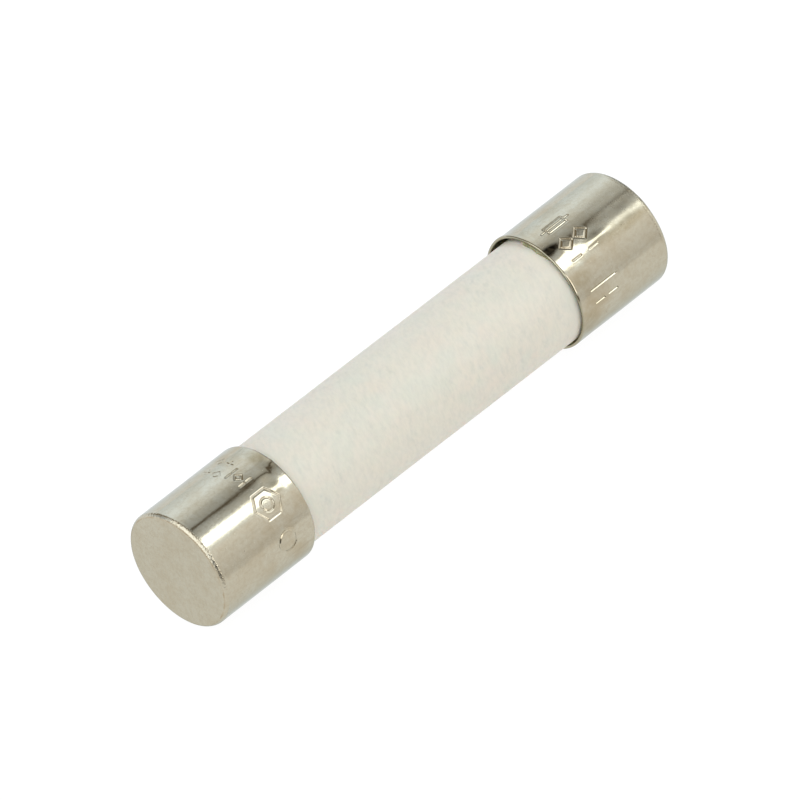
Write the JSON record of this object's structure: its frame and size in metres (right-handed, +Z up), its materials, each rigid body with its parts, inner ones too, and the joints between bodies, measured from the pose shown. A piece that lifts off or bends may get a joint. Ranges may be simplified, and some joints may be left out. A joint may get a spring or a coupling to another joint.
{
  "type": "cartridge fuse",
  "caption": "Cylindrical cartridge fuse: a white ceramic tube, sand filled, between two nickel-plated end caps joined inside by a fuse wire.",
  "frame": {"origin": "middle of the fuse, on the common axis of the two end caps", "axes": "+X along the fuse towards the right cap, +Y across it, +Z up with the fuse lying on its side"},
  "size_m": [0.0314, 0.0064, 0.0064],
  "materials": {
    "nickel_plating": "bright nickel plating over drawn brass, polished",
    "ceramic": "fired white ceramic, satin, with faint grey rub marks",
    "fuse_wire": "silver-plated copper wire, satin",
    "sand": "packed quartz sand, matte",
    "solder": "tin solder, satin",
    "fibre": "vulcanised fibre, matte",
    "cement": "hardened adhesive, satin, translucent"
  },
  "bodies": {
    "root": {"ceramic_tube": "ceramic", "fuse_element": "fuse_wire", "left_cement_ring": "cement", "left_end_cap": "nickel_plating", "left_solder": "solder", "left_washer": "fibre", "quartz_sand": "sand", "right_cement_ring": "cement", "right_end_cap": "nickel_plating", "right_solder": "solder", "right_washer": "fibre"}
  },
  "joints": []
}
